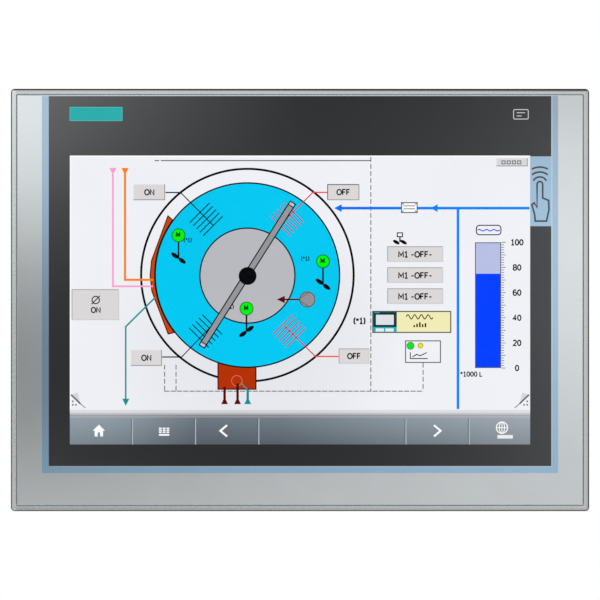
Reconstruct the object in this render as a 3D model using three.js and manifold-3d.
// Panel-mount operator touch panel with a 12.1-inch wide-format display.
//
// Millimetres, +Z up, front towards -Y. Every length below is taken from the seat plane, y = 0, where
// the mounting seal meets the outside of the cabinet sheet, so y > 0 is inside the cabinet. At the end
// the assembly moves along Y, so that the origin is the centre of the touch face.
import * as THREE from "three";
import { mergeVertices } from "three/addons/utils/BufferGeometryUtils.js";
import Module from "manifold-3d";

const wasm = await Module();
wasm.setup();

// ---------------------------------------------------------------- driving sizes

const GAP = 0.1; // air between two pieces that lie on each other
const FRONT = { width: 330, height: 241, corner: 2.2 };
const CUTOUT = { width: 310, height: 221 };
const CUTOUT_CLEARANCE = 1; // between the cabinet sheet and the housing collar, all round
const SCREEN = { width: 262.6, height: 164.9 }; // clear window of the front foil
const DEPTH_BEHIND = 58;

// Front frame, from the rim back. Depths are y values.
const RIM_FRONT = -7;
const RIM_EDGE = 1.1; // rounding of the outer front edge
const RIM_WIDTH = 3.1;
const GROOVE_WIDTH = 0.45;
const GROOVE_FLOOR = -5.4;
const FOIL = { front: -6.5, back: -6.1 };
const FOIL_SEAT = FOIL.back + GAP;
const TOUCH = { width: 280, height: 182, filmBack: -5.8, glassFront: -5.7, glassBack: -3.9 };
const TOUCH_POCKET_FLOOR = TOUCH.glassBack + GAP;
const WINDOW = { width: 268, height: 170 }; // opening in the metal behind the touch glass
const FRAME_BACK = -1;
const SEAL = { width: 323, height: 234, corner: 4, bead: 4, depth: 2.9 };

// Rear housing: a collar that passes the cut-out, and on top of it the box with the electronics.
const WALL = 2;
const COLLAR = {
  width: CUTOUT.width - 2 * CUTOUT_CLEARANCE,
  height: CUTOUT.height - 2 * CUTOUT_CLEARANCE,
  corner: 5,
  front: FRAME_BACK + GAP,
  back: 18,
};
const BOX = { left: -141, right: 141, bottom: -68, top: 101, corner: 6, edge: 3 };

// Housing screws, which run down hollow posts into the front frame, and the posts on the carrier plate.
const CORNER_SCREW = { x: 147, z: 102, shank: 1.6, head: 3.4, post: 3.6, holeEnd: -5 };
const CARRIER_POST = { x: 100, z: 103.5, radius: 2.8 };

// Display module, front to back.
const LCD = { width: 282, height: 186, front: -0.9, back: 8, skin: 0.8 };
const CELL = { width: 276, height: 180, front: 0, back: 1.8 };
const LIGHT_GUIDE = { width: 274, height: 176, front: 2.2, back: 5.2 };

// Electronics.
const CARRIER = { width: 280, height: 211.6, front: 8.1, back: 9.3 };
const STANDOFF = { x: 112, z: 50, radius: 3 };
const BOARD = { left: -125, right: 125, bottom: -65.5, top: 60, front: 20.1, back: 21.7 };
const ON_BOARD = BOARD.back + GAP; // where sockets stand
const SOCKET_LIP = BOX.bottom - 0.5; // sockets end just proud of the connector wall

// Sockets along the connector wall: centre in x, width, rearmost y, and how far up they reach inside.
const POWER = { x: 111, width: 15, back: 34, top: -52, poles: [-2.54, 2.54], screwZ: -80 };
const SERIAL = { x: 72, width: 19, back: 34.6, top: -52, centre: 29, screwX: 12.5 };
const ETHERNET = { x: 33, width: 32, back: 35.4, top: -47 };
const USB = { x: -4, width: 14.4, back: 37.6, top: -50, levels: [26, 33.6] };
const MINI_USB = { x: -27, width: 7.9, back: 26, top: -58 };
const AUDIO = { x: -46, width: 8.4, back: 28.6, top: -53, centre: 25.2, nose: 3.1 };
const OUTSIDE = -120; // below the whole part; cuts that open downwards start here
const GROUND_SCREW = { x: 135, z: -90, boss: 11 };

// Clamps: the cast hook in the collar, and the set screw that presses on the cabinet sheet.
const CLAMP = { width: 18, back: 22, reach: 10.2, prongX: 5.5, prongWidth: 3.4 };
const PRONG_SLOT = { front: 8.2, back: 12.3 };
const CLAMP_SCREW = { fromWall: 6.2, radius: 2, tip: 6, length: 16 };

// Card slots in the left wall of the box, behind a sliding cover.
const CARD = { bottom: -33, top: -8, layers: [27, 33], thickness: 2.6 };
const COVER = { front: 21.3, back: 38.7, bottom: -37, top: -4, travel: 30 };

// ---------------------------------------------------------------- finishes

const finish = (color, roughness, metalness) =>
  new THREE.MeshStandardMaterial({ color, roughness, metalness });
const castAluminium = finish(0xc4c8ca, 0.38, 0.8);
const foilPrint = finish(0x3c3d3f, 0.3, 0);
const clearFilm = finish(0xe8ecf0, 0.08, 0);
const glass = finish(0xdfe9e6, 0.05, 0);
const displayGlass = finish(0x20242a, 0.1, 0);
const acrylic = finish(0xf2f6f8, 0.15, 0);
const stainless = finish(0xb9bcbe, 0.35, 0.9);
const galvanised = finish(0xa9adaf, 0.45, 0.85);
const paintedHousing = finish(0xb4b8ba, 0.5, 0.6);
const circuitBoard = finish(0x1d5a35, 0.5, 0.05);
const anodised = finish(0x2b2d30, 0.45, 0.7);
const blackPlastic = finish(0x202122, 0.5, 0);
const greenPlastic = finish(0x2f8f4e, 0.45, 0);
const sealFoam = finish(0x2c2c2d, 0.9, 0);
const zincScrew = finish(0xc9c9c4, 0.3, 0.9);
const label = finish(0xd9dbdc, 0.55, 0.1);
const flexFilm = finish(0xb8742a, 0.4, 0.1);

// ---------------------------------------------------------------- shape helpers

// A closed three.js geometry as a manifold-3d solid.
function solid(geometry) {
  const loose = geometry.index ? geometry.toNonIndexed() : geometry;
  const bare = new THREE.BufferGeometry().setAttribute("position", loose.getAttribute("position"));
  const merged = mergeVertices(bare, 1e-4);
  return new wasm.Manifold(
    new wasm.Mesh({
      numProp: 3,
      vertProperties: merged.attributes.position.array,
      triVerts: new Uint32Array(merged.index.array),
    }),
  );
}

// A manifold-3d solid as a named mesh.
function piece(name, shape, material) {
  const made = shape.getMesh();
  const geometry = new THREE.BufferGeometry()
    .setAttribute("position", new THREE.BufferAttribute(made.vertProperties, 3))
    .setIndex(new THREE.BufferAttribute(made.triVerts, 1));
  geometry.computeVertexNormals();
  const mesh = new THREE.Mesh(geometry, material);
  mesh.name = name;
  return mesh;
}

const join = (...shapes) => shapes.reduce((all, next) => all.add(next));
const cut = (shape, ...tools) => tools.reduce((rest, tool) => rest.subtract(tool), shape);
const around = (centre, width) => [centre - width / 2, centre + width / 2];
const series = (count, place) => Array.from({ length: count }, (_, i) => place(i));
const everyStep = (first, last, pitch) =>
  series(Math.round((last - first) / pitch) + 1, (i) => first + i * pitch);

// An axis-aligned block between [low, high] in x, y and z.
function block([x0, x1], [y0, y1], [z0, z1]) {
  const box = new THREE.BoxGeometry(x1 - x0, y1 - y0, z1 - z0);
  return solid(box.translate((x0 + x1) / 2, (y0 + y1) / 2, (z0 + z1) / 2));
}

// Cylinders and cones along Y and along Z, between [low, high], centred on the other two coordinates.
function rodY(radius, [y0, y1], [x, z], sides = 16, highRadius = radius) {
  const rod = new THREE.CylinderGeometry(highRadius, radius, y1 - y0, sides);
  return solid(rod.translate(x, (y0 + y1) / 2, z));
}
function rodZ(radius, [z0, z1], [x, y], sides = 16) {
  const rod = new THREE.CylinderGeometry(radius, radius, z1 - z0, sides);
  return solid(rod.rotateX(Math.PI / 2).translate(x, y, (z0 + z1) / 2));
}

function roundedRectangle(width, height, radius) {
  const [x, y] = [width / 2 - radius, height / 2 - radius];
  const quarter = Math.PI / 2;
  return new THREE.Shape()
    .absarc(x, -y, radius, -quarter, 0)
    .absarc(x, y, radius, 0, quarter)
    .absarc(-x, y, radius, quarter, 2 * quarter)
    .absarc(-x, -y, radius, 2 * quarter, 3 * quarter);
}

// A plate standing in the XZ plane, with rounded corners, between two y values.
function plate({ width, height, corner, x = 0, z = 0 }, [y0, y1]) {
  const shape = roundedRectangle(width, height, corner);
  const slab = new THREE.ExtrudeGeometry(shape, { depth: y1 - y0, bevelEnabled: false, curveSegments: 3 });
  return solid(slab.rotateX(Math.PI / 2).translate(x, y1, z));
}

// The same plate with both of its outer edges rounded by edge.
function softPlate({ width, height, corner, x = 0, z = 0 }, [y0, y1], edge, edgeSegments) {
  const slab = new THREE.ExtrudeGeometry(roundedRectangle(width, height, corner), {
    depth: y1 - y0 - 2 * edge,
    bevelThickness: edge,
    bevelSize: edge,
    bevelOffset: -edge,
    bevelSegments: edgeSegments,
    curveSegments: 3,
  });
  return solid(slab.rotateX(Math.PI / 2).translate(x, y1 - edge, z));
}

// A ring in the XZ plane between two rounded rectangles.
function ring(outer, inner, [y0, y1]) {
  return cut(plate(outer, [y0, y1]), plate(inner, [y0 - 1, y1 + 1]));
}

// A square-cornered plate in the XZ plane, centred.
const sheet = (width, height, depths) => block(around(0, width), depths, around(0, height));

// A polygon of [y, z] points carried along X.
function prismX(points, [x0, x1]) {
  const shape = new THREE.Shape(points.map(([y, z]) => new THREE.Vector2(y, z)));
  const long = new THREE.ExtrudeGeometry(shape, { depth: x1 - x0, bevelEnabled: false });
  const yzx = new THREE.Matrix4().makeBasis(
    new THREE.Vector3(0, 1, 0),
    new THREE.Vector3(0, 0, 1),
    new THREE.Vector3(1, 0, 0),
  );
  return solid(long.applyMatrix4(yzx).translate(x0, 0, 0));
}

const corners = ({ x, z }) => [
  [x, z],
  [-x, z],
  [-x, -z],
  [x, -z],
];

// ---------------------------------------------------------------- front

// The cast front frame: rim, groove, seat of the foil, pocket of the touch glass, seal groove, and
// blind holes for the housing screws.
function bezelFrame() {
  const rimInside = inset(FRONT, RIM_WIDTH, 1.2);
  return cut(
    softPlate(FRONT, [RIM_FRONT, FRAME_BACK + 2 * RIM_EDGE], RIM_EDGE, 4),
    sheet(2 * FRONT.width, 2 * FRONT.height, [FRAME_BACK, 2 * RIM_EDGE]),
    plate(rimInside, [RIM_FRONT - 1, FOIL_SEAT]),
    ring(rimInside, foilOutline(), [FOIL_SEAT - 0.5, GROOVE_FLOOR]),
    sheet(TOUCH.width + 1, TOUCH.height + 1, [RIM_FRONT, TOUCH_POCKET_FLOOR]),
    sheet(WINDOW.width, WINDOW.height, [RIM_FRONT, 0]),
    sealRing(0.3, [FRAME_BACK - 2, 0]),
    ...corners(CORNER_SCREW).map((at) => rodY(CORNER_SCREW.shank + 0.3, [CORNER_SCREW.holeEnd, 0], at, 12)),
  );
}

// The same outline drawn further in by a margin.
function inset({ width, height }, margin, corner) {
  return { width: width - 2 * margin, height: height - 2 * margin, corner };
}

function foilOutline() {
  return inset(FRONT, RIM_WIDTH + GROOVE_WIDTH, 0.9);
}

function frontFoil() {
  return plate(foilOutline(), [FOIL.front, FOIL.back]);
}

function touchFilm() {
  return sheet(TOUCH.width, TOUCH.height, [FOIL_SEAT, TOUCH.filmBack]);
}

function touchGlass() {
  return sheet(TOUCH.width, TOUCH.height, [TOUCH.glassFront, TOUCH.glassBack]);
}

// The ring of the mounting seal, widened by grow on each side for its groove.
function sealRing(grow, depths) {
  return ring(inset(SEAL, -grow, SEAL.corner), inset(SEAL, SEAL.bead + grow, 1), depths);
}

function mountingSeal() {
  return sealRing(0, [-SEAL.depth, 0]);
}

function displayGasket() {
  const [front, back] = [TOUCH_POCKET_FLOOR, LCD.front - GAP];
  return cut(
    sheet(WINDOW.width - 0.6, WINDOW.height - 0.6, [front, back]),
    sheet(WINDOW.width - 3.8, WINDOW.height - 3.8, [front - 1, back + 1]),
  );
}

// ---------------------------------------------------------------- display module

// Folded sheet frame: a window in front and a skirt round the stack.
function lcdFrame() {
  return cut(
    sheet(LCD.width, LCD.height, [LCD.front, LCD.back]),
    sheet(LCD.width - 2 * LCD.skin, LCD.height - 2 * LCD.skin, [LCD.front + LCD.skin, LCD.back + 1]),
    sheet(SCREEN.width + 1.4, SCREEN.height + 1.4, [LCD.front - 1, LCD.front + 2]),
  );
}

function lcdCell() {
  return sheet(CELL.width, CELL.height, [CELL.front, CELL.back]);
}

function lightGuide() {
  return sheet(LIGHT_GUIDE.width, LIGHT_GUIDE.height, [LIGHT_GUIDE.front, LIGHT_GUIDE.back]);
}

// A bar of light-emitting diodes that faces the lower edge of the light guide.
function ledStrip() {
  const top = -LIGHT_GUIDE.height / 2 - 0.3;
  const bar = block(around(0, 264), [LIGHT_GUIDE.front, LIGHT_GUIDE.back], [top - 2.6, top - 1]);
  const lights = everyStep(-121, 121, 22).map((x) => block(around(x, 5), [2.8, 4.6], [top - 1.2, top]));
  return join(bar, ...lights);
}

// Sheet that closes the display module, with pressed beads across it.
function lcdBackPan() {
  const [front, back] = [LIGHT_GUIDE.back + 0.2, LIGHT_GUIDE.back + 1.2];
  const pan = sheet(LCD.width - 2.6, LCD.height - 2.6, [front, back]);
  const beads = [-60, -20, 20].map((z) => block(around(0, 200), [back - 0.1, back + 0.6], around(z, 8)));
  return join(pan, ...beads);
}

// ---------------------------------------------------------------- electronics

// Sheet behind the display that carries the board on stand-offs, with a slot for the display cable
// and openings that save weight.
function carrierPlate() {
  const through = [CARRIER.front - 1, CARRIER.back + 1];
  const base = cut(
    sheet(CARRIER.width, CARRIER.height, [CARRIER.front, CARRIER.back]),
    ...corners(CARRIER_POST).map((at) => rodY(1.7, through, at, 12)),
    block(around(0, 44), through, around(56, 14)),
    ...[-78, -26, 26, 78].map((x) => block(around(x, 30), through, around(-8, 46))),
  );
  const standoffs = corners(STANDOFF).map((at) =>
    rodY(STANDOFF.radius, [CARRIER.back - 0.2, BOARD.front - GAP], at, 6),
  );
  return join(base, ...standoffs);
}

// Circuit board with its larger components.
function mainboard() {
  const base = block([BOARD.left, BOARD.right], [BOARD.front, BOARD.back], [BOARD.bottom, BOARD.top]);
  const foot = BOARD.back - 0.05;
  const chip = (x, z, width, height, rise) =>
    block(around(x, width), [foot, BOARD.back + rise], around(z, height));
  const capacitor = (x, z) => rodY(4, [foot, BOARD.back + 11], [x, z], 12);
  const components = [
    chip(0, 20, 27, 27, 2.2),
    ...[-17, 0, 17].map((x) => chip(x, -8, 12, 10, 1.2)),
    ...[-60, -46].map((x) => chip(x, 24, 10, 18, 1.4)),
    chip(46, 28, 14, 14, 1.6),
    chip(72, -30, 10, 8, 1.6),
    chip(33, -34, 24, 10, 5),
    ...[86, 100].map((x) => chip(x, -26, 12, 12, 6)),
    ...[84, 96, 108].map((x) => capacitor(x, -4)),
    chip(-96, 30, 18, 8, 6),
    chip(-70, 50, 34, 5, 3),
  ];
  return join(base, ...components);
}

function heatSink() {
  const [x, z, size] = [0, 20, 58];
  const seat = BOARD.back + 2.2 + GAP;
  const edge = size / 2 - 1;
  const fins = everyStep(x - edge, x + edge, 5.6).map((at) =>
    block(around(at, 1.6), [seat + 3.4, seat + 20], around(z, size)),
  );
  return join(block(around(x, size), [seat, seat + 3.5], around(z, size)), ...fins);
}

// Flat cable from the front of the board, through the carrier's slot, to the back of the display.
function displayCable() {
  const route = new THREE.CatmullRomCurve3(
    [
      [BOARD.front - 0.4, 40],
      [BOARD.front - 0.6, 48],
      [15, 56],
      [9, 57],
      [7.3, 52],
      [7.2, 44],
    ].map(([y, z]) => new THREE.Vector3(0, y, z)),
  );
  const halfThickness = 0.2;
  const steps = 20;
  const side = (sign) =>
    series(steps + 1, (i) => {
      const at = route.getPoint(i / steps);
      const along = route.getTangent(i / steps);
      return [at.y - sign * halfThickness * along.z, at.z + sign * halfThickness * along.y];
    });
  return prismX([...side(-1), ...side(1).reverse()], around(0, 32));
}

// ---------------------------------------------------------------- sockets on the connector wall

const socketBody = ({ x, width, back, top }) => block(around(x, width), [ON_BOARD, back], [SOCKET_LIP, top]);

function powerSocket() {
  const cavity = block(around(POWER.x, 12.8), [23.2, 32.6], [OUTSIDE, -57]);
  const pins = POWER.poles.map((x) => block(around(POWER.x + x, 1), around(27.9, 1), [-66, -56.9]));
  return join(cut(socketBody(POWER), cavity), ...pins);
}

// Cable plug: a nose that fills the socket, and a body with two wire entries and two clamping screws.
function powerPlug() {
  const nose = block(around(POWER.x, 12), [23.6, 32.2], [-70, -58]);
  const body = prismX(
    [
      [22.6, -89],
      [36, -89],
      [38, -86],
      [38, -74],
      [34.4, -69.4],
      [22.6, -69.4],
    ],
    around(POWER.x, 14),
  );
  const openings = POWER.poles.flatMap((x) => [
    block(around(POWER.x + x, 1.8), around(27.9, 1.8), [-67, -57]),
    block(around(POWER.x + x, 3.8), around(27.6, 4), [OUTSIDE, -79]),
    rodY(2.1, [33.4, 45], [POWER.x + x, POWER.screwZ], 12),
  ]);
  return cut(join(nose, body), ...openings);
}

// A clamping screw of the power plug, with its slot across the head.
function plugScrew(pole) {
  const at = [POWER.x + pole, POWER.screwZ];
  return cut(rodY(1.85, [33.8, 37.6], at, 12), block(around(at[0], 5), [36.8, 39], around(at[1], 0.7)));
}

// Nine-way serial socket: flange, D-shaped shell, contact holes and the body behind the wall.
function serialSocket() {
  const { x, centre, screwX } = SERIAL;
  const dShape = new THREE.Shape()
    .moveTo(-7.2, -4.4)
    .lineTo(7.2, -4.4)
    .lineTo(8.6, 4.4)
    .lineTo(-8.6, 4.4);
  const shellEnd = BOX.bottom - 6;
  const shell = new THREE.ExtrudeGeometry(dShape, { depth: 5, bevelEnabled: false });
  const flange = block(around(x, 31), around(centre, 12.5), [BOX.bottom - 1.1, BOX.bottom - GAP]);
  const rear = block(around(x, SERIAL.width), [ON_BOARD, SERIAL.back], [BOX.bottom - 0.2, SERIAL.top]);
  const pitch = 2.77;
  const contacts = [
    ...[-2, -1, 0, 1, 2].map((i) => [x + i * pitch, centre + 1.42]),
    ...[-1.5, -0.5, 0.5, 1.5].map((i) => [x + i * pitch, centre - 1.42]),
  ];
  return cut(
    join(flange, solid(shell.translate(x, centre, shellEnd)), rear),
    ...contacts.map((at) => rodZ(0.75, [OUTSIDE, BOX.bottom - 2], at, 6)),
    ...[-screwX, screwX].map((side) => rodZ(1.7, [OUTSIDE, BOX.bottom + 5], [x + side, centre], 12)),
  );
}

function serialJackscrew(side) {
  const at = [SERIAL.x + side * SERIAL.screwX, SERIAL.centre];
  const hex = rodZ(2.9, [BOX.bottom - 5.6, BOX.bottom - 1.2], at, 6);
  const shank = rodZ(1.4, [BOX.bottom - 1.4, BOX.bottom + 8], at, 12);
  return cut(join(hex, shank), rodZ(1.2, [OUTSIDE, BOX.bottom - 2], at, 12));
}

// Two modular network jacks in one body, each with its latch notch, and two lights.
function ethernetJack() {
  const ports = [-7.8, 7.8].flatMap((side) => [
    block(around(ETHERNET.x + side, 11.9), [25.4, 32.2], [OUTSIDE, -54]),
    block(around(ETHERNET.x + side, 6.2), [24, 25.5], [OUTSIDE, -56]),
    block(around(ETHERNET.x + side, 3.4), [22.9, 24.1], [OUTSIDE, -60]),
  ]);
  const lights = [-13.2, 13.2].map((side) =>
    block(around(ETHERNET.x + side, 2.4), [33, 34.6], [OUTSIDE, SOCKET_LIP + 0.5]),
  );
  return cut(socketBody(ETHERNET), ...ports, ...lights);
}

// Two stacked host sockets, each an opening around a contact tongue.
function usbJack() {
  const openings = USB.levels.map((y) => block(around(USB.x, 12.5), around(y, 5.1), [OUTSIDE, -56]));
  const tongues = USB.levels.map((y) => block(around(USB.x, 11.1), [y + 0.1, y + 1.9], [-66.5, -55.9]));
  return join(cut(socketBody(USB), ...openings), ...tongues);
}

function miniUsbJack() {
  const opening = block(around(MINI_USB.x, 6.9), [22.4, 25.4], [OUTSIDE, -61]);
  const tongue = block(around(MINI_USB.x, 5), [23.6, 24.3], [-67, -60.9]);
  return join(cut(socketBody(MINI_USB), opening), tongue);
}

function audioJack() {
  const { x, width, back, top, centre, nose } = AUDIO;
  const behindWall = BOX.bottom + WALL + 0.3;
  const body = block(around(x, width), [ON_BOARD, back], [behindWall, top]);
  const collar = rodZ(nose, [BOX.bottom - 1.2, behindWall + 0.2], [x, centre]);
  return cut(join(body, collar), rodZ(1.75, [OUTSIDE, -57], [x, centre]));
}

function cardReader() {
  const inner = BOX.left + WALL + 0.3;
  const body = block([inner, inner + 31], [ON_BOARD, 36.6], [CARD.bottom - 2, CARD.top + 2]);
  return cut(body, ...CARD.layers.map((y) => cardSlot(y, [inner - 5, inner + 26])));
}

const cardSlot = (y, depth) => block(depth, around(y, CARD.thickness), [CARD.bottom, CARD.top]);

// ---------------------------------------------------------------- rear housing

// Rows of ventilation slots: in the roof, in the right wall, and in the floor beside the sockets.
function vents() {
  const width = 3.2;
  const pitch = 8;
  const depths = [27, 47];
  return [
    ...everyStep(-120, 120, pitch).map((x) => block(around(x, width), depths, around(BOX.top, 10))),
    ...everyStep(-128, -64, pitch).map((x) => block(around(x, width), depths, around(BOX.bottom, 10))),
    ...everyStep(-44, 76, pitch).map((z) => block(around(BOX.right, 10), depths, around(z, width))),
  ];
}

// Openings in the connector wall, each just clear of its socket.
function socketOpenings() {
  const wall = [BOX.bottom - 0.5, BOX.bottom + WALL + 0.5];
  const clear = 0.3;
  return [
    ...[POWER, SERIAL, ETHERNET, USB, MINI_USB].map(({ x, width, back }) =>
      block(around(x, width + 2 * clear), [ON_BOARD - clear, back + clear], wall),
    ),
    ...[-1, 1].map((side) => rodZ(1.9, wall, [SERIAL.x + side * SERIAL.screwX, SERIAL.centre], 12)),
    rodZ(AUDIO.nose + clear, wall, [AUDIO.x, AUDIO.centre]),
  ];
}

// The window that a clamp's prong enters, in the clamp's own frame.
const prongSlot = (x) =>
  block(around(x, CLAMP.prongWidth + 0.8), [PRONG_SLOT.front, PRONG_SLOT.back], [-WALL - 1, 1]);

function clampSlots() {
  return clampPlaces().flatMap(({ x, z, degrees }) =>
    [-CLAMP.prongX, CLAMP.prongX].map((at) => prongSlot(at).rotate([0, degrees, 0]).translate([x, 0, z])),
  );
}

// Two hooked rails that hold the card cover against the left wall, with a stop across each end.
function coverRails() {
  const span = [COVER.bottom - 2, COVER.top + COVER.travel + 2];
  const [root, lip, face] = [BOX.left + 0.2, BOX.left - 2.3, BOX.left - 3.6];
  const [outer, inner, hook] = [1.8, 0.3, -1.3]; // distances from the edge of the cover
  return join(
    block([face, root], [COVER.front - outer, COVER.front - inner], span),
    block([face, lip], [COVER.front - outer, COVER.front - hook], span),
    block([face, root], [COVER.back + inner, COVER.back + outer], span),
    block([face, lip], [COVER.back + hook, COVER.back + outer], span),
    ...span.map((z) => block([face, root], [COVER.front - outer, COVER.back + outer], around(z, 1.4))),
  );
}

function rearHousing() {
  const box = {
    width: BOX.right - BOX.left,
    height: BOX.top - BOX.bottom,
    corner: BOX.corner,
    z: (BOX.top + BOX.bottom) / 2,
  };
  const inside = { ...box, ...inset(box, WALL, BOX.corner - WALL) };
  const shell = cut(
    join(
      plate(COLLAR, [COLLAR.front, COLLAR.back]),
      softPlate(box, [COLLAR.back - 8, DEPTH_BEHIND], BOX.edge, 2),
    ),
    plate(inset(COLLAR, WALL, 3), [COLLAR.front - 1, COLLAR.back - WALL]),
    softPlate(inside, [0, DEPTH_BEHIND - WALL], 1.5, 1),
  );
  const groundAt = [GROUND_SCREW.x, GROUND_SCREW.z];
  const ledge = COLLAR.back - 0.5;
  const posts = [
    rodY(4.6, [GROUND_SCREW.boss, ledge], groundAt),
    ...corners(CORNER_SCREW).map((at) => rodY(CORNER_SCREW.post, [COLLAR.front, ledge], at)),
    ...corners(CARRIER_POST).map((at) => rodY(CARRIER_POST.radius, [CARRIER.back + GAP, ledge], at, 12)),
  ];
  return cut(
    join(shell, ...posts, coverRails()),
    rodY(2.3, [0, COLLAR.back + 1], groundAt, 12),
    ...corners(CORNER_SCREW).map((at) => rodY(2.1, [COLLAR.front - 1, COLLAR.back + 1], at, 12)),
    ...corners(CARRIER_POST).map((at) => rodY(1.3, [CARRIER.front, COLLAR.back - WALL], at, 8)),
    plate(ratingPlateOutline(0.6), [DEPTH_BEHIND - 0.5, DEPTH_BEHIND + 1]),
    ...CARD.layers.map((y) => cardSlot(y, [BOX.left - 3, BOX.left + WALL + 1])),
    ...vents(),
    ...socketOpenings(),
    ...clampSlots(),
  );
}

function ratingPlateOutline(grow) {
  return { width: 104 + grow, height: 56 + grow, corner: 2, x: -62, z: 52 };
}

function ratingPlate() {
  return plate(ratingPlateOutline(0), [DEPTH_BEHIND - 0.45, DEPTH_BEHIND - 0.1]);
}

function housingScrew([x, z]) {
  const seat = COLLAR.back + GAP;
  const head = rodY(CORNER_SCREW.head, [seat, seat + 2.4], [x, z], 16, CORNER_SCREW.head * 0.8);
  const shank = rodY(CORNER_SCREW.shank, [CORNER_SCREW.holeEnd + 0.5, seat + 0.5], [x, z], 8);
  const recess = [
    [3.6, 0.8],
    [0.8, 3.6],
  ].map(([w, h]) => block(around(x, w), [seat + 1.1, seat + 5], around(z, h)));
  return cut(join(head, shank), ...recess);
}

// Earthing screw with its captive washer.
function groundScrew() {
  const at = [GROUND_SCREW.x, GROUND_SCREW.z];
  const seat = COLLAR.back + GAP;
  const body = join(
    rodY(2, [GROUND_SCREW.boss, seat + 0.5], at, 12),
    rodY(5, [seat, seat + 1], at, 20),
    rodY(3.9, [seat + 0.9, seat + 3.8], at, 16, 3.4),
  );
  return cut(body, block(around(at[0], 9), [seat + 2.6, seat + 6], around(at[1], 1)));
}

// Comb on the ledge below the sockets, where cables are tied down: a strip raised on two riveted feet,
// with T-shaped teeth.
function strainReliefPlate() {
  const seat = COLLAR.back + GAP;
  const sheetThickness = 1.2;
  const [left, right] = [-84, 92];
  const width = [-106.5, -100];
  const raised = [seat + 4, seat + 4 + sheetThickness];
  const foot = (x, outward) => [
    block([x, x + outward * sheetThickness].sort(ascending), [seat, raised[1]], width),
    block([x, x + outward * 10].sort(ascending), [seat, seat + sheetThickness], width),
    rodY(2, [seat + 1, seat + 1.9], [x + outward * 5.5, (width[0] + width[1]) / 2], 12, 1.4),
  ];
  const tooth = (x) => [
    block(around(x, 3.4), raised, [width[1] - 0.2, width[1] + 4.5]),
    block(around(x, 8), raised, [width[1] + 4.4, width[1] + 7]),
  ];
  return join(
    block([left - 0.1, right + 0.1], raised, width),
    ...foot(left, -1),
    ...foot(right, 1),
    ...everyStep(left + 14, right - 15, 21).flatMap(tooth),
  );
}

const ascending = (a, b) => a - b;

// Sliding cover over the card slots, with finger ribs.
function cardSlotCover() {
  const face = BOX.left - 2.1;
  const plain = block([face, BOX.left - 0.3], [COVER.front, COVER.back], [COVER.bottom, COVER.top]);
  const ribs = [-11, -8, -5].map((down) =>
    block([face - 1, face + 0.1], around(30, 9), around(COVER.top + down, 1.2)),
  );
  return join(plain, ...ribs);
}

// ---------------------------------------------------------------- mounting clamps

// Where each clamp hooks on the collar: four above, two on each side and four below. In a clamp's own
// frame x runs along the collar wall and z away from it.
function clampPlaces() {
  const [side, top] = [COLLAR.width / 2, COLLAR.height / 2];
  const along = [-120, -40, 40, 120];
  return [
    ...along.map((x) => ({ x, z: top, degrees: 0 })),
    ...[60, -60].map((z) => ({ x: side, z, degrees: 90 })),
    ...along.map((x) => ({ x: -x, z: -top, degrees: 180 })),
    ...[-60, 60].map((z) => ({ x: -side, z, degrees: -90 })),
  ];
}

// Cast clamp: two prongs that pass the collar wall and turn back behind it, a foot, and a threaded boss.
function mountingClamp() {
  const prongFront = PRONG_SLOT.front + 2;
  const prongBack = PRONG_SLOT.back - 0.2;
  const [tongueInside, tongueFace] = [-WALL - 1.3, -WALL - 0.25];
  const tongueEnd = prongBack + 1.7;
  const prong = (x) =>
    prismX(
      [
        [prongFront, 1],
        [prongFront, tongueInside],
        [tongueEnd, tongueInside],
        [tongueEnd, tongueFace],
        [prongBack, tongueFace],
        [prongBack, 1],
      ],
      around(x, CLAMP.prongWidth),
    );
  const [foot, top, back] = [0.3, CLAMP.reach, CLAMP.back];
  const profile = [
    [prongFront, foot],
    [prongFront, 2.4],
    [12.8, 3.4],
    [12.8, top - 0.8],
    [13.6, top],
    [back - 0.8, top],
    [back, top - 0.8],
    [back, foot],
  ];
  const shoulder = [-1, 1].map((side) =>
    block(around(side * CLAMP.width * 0.5, 8.4), [prongFront - 1, back + 1], [4.2, top + 1]),
  );
  return cut(
    join(prismX(profile, around(0, CLAMP.width)), ...[-CLAMP.prongX, CLAMP.prongX].map(prong)),
    ...shoulder,
    rodY(CLAMP_SCREW.radius + 0.2, [5, 30], [0, CLAMP_SCREW.fromWall], 12),
  );
}

// Slotted set screw with a chamfered tip, along Y through its clamp's boss.
function clampScrew() {
  const { radius, tip, length, fromWall } = CLAMP_SCREW;
  const at = [0, fromWall];
  const body = join(
    rodY(radius * 0.6, [tip, tip + 1], at, 12, radius),
    rodY(radius, [tip + 1, tip + length], at, 12),
  );
  return cut(body, block(around(0, 6), [tip + length - 1.4, tip + length + 1], around(fromWall, 0.8)));
}

// ---------------------------------------------------------------- assembly

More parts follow.
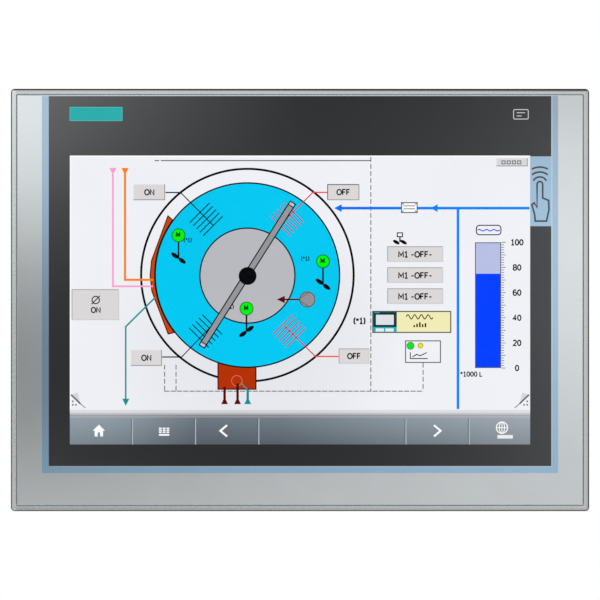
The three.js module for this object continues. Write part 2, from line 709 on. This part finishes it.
const panel = new THREE.Group();
panel.position.y = -FOIL.front;
panel.add(
  piece("bezel_frame", bezelFrame(), castAluminium),
  piece("front_foil", frontFoil(), foilPrint),
  piece("touch_film", touchFilm(), clearFilm),
  piece("touch_glass", touchGlass(), glass),
  piece("display_gasket", displayGasket(), sealFoam),
  piece("mounting_seal", mountingSeal(), sealFoam),
  piece("lcd_frame", lcdFrame(), stainless),
  piece("lcd_cell", lcdCell(), displayGlass),
  piece("light_guide", lightGuide(), acrylic),
  piece("led_strip", ledStrip(), label),
  piece("lcd_back_pan", lcdBackPan(), galvanised),
  piece("carrier_plate", carrierPlate(), galvanised),
  piece("mainboard", mainboard(), circuitBoard),
  piece("heat_sink", heatSink(), anodised),
  piece("display_cable", displayCable(), flexFilm),
  piece("rear_housing", rearHousing(), paintedHousing),
  piece("rating_plate", ratingPlate(), label),
  piece("power_socket", powerSocket(), greenPlastic),
  piece("power_plug", powerPlug(), greenPlastic),
  piece("power_plug_screw_1", plugScrew(POWER.poles[0]), zincScrew),
  piece("power_plug_screw_2", plugScrew(POWER.poles[1]), zincScrew),
  piece("serial_socket", serialSocket(), stainless),
  piece("serial_jackscrew_1", serialJackscrew(-1), zincScrew),
  piece("serial_jackscrew_2", serialJackscrew(1), zincScrew),
  piece("ethernet_jack", ethernetJack(), stainless),
  piece("usb_jack", usbJack(), stainless),
  piece("mini_usb_jack", miniUsbJack(), stainless),
  piece("audio_jack", audioJack(), blackPlastic),
  piece("card_reader", cardReader(), blackPlastic),
  piece("card_slot_cover", cardSlotCover(), blackPlastic),
  piece("strain_relief_plate", strainReliefPlate(), stainless),
  piece("ground_screw", groundScrew(), zincScrew),
);

corners(CORNER_SCREW).forEach((at, i) => {
  panel.add(piece(`housing_screw_${i + 1}`, housingScrew(at), zincScrew));
});

clampPlaces().forEach(({ x, z, degrees }, i) => {
  const number = String(i + 1).padStart(2, "0");
  const place = new THREE.Group();
  place.position.set(x, 0, z);
  place.rotation.y = THREE.MathUtils.degToRad(degrees);
  place.add(
    piece(`mounting_clamp_${number}`, mountingClamp(), castAluminium),
    piece(`clamp_screw_${number}`, clampScrew(), zincScrew),
  );
  panel.add(place);
});

export default panel;
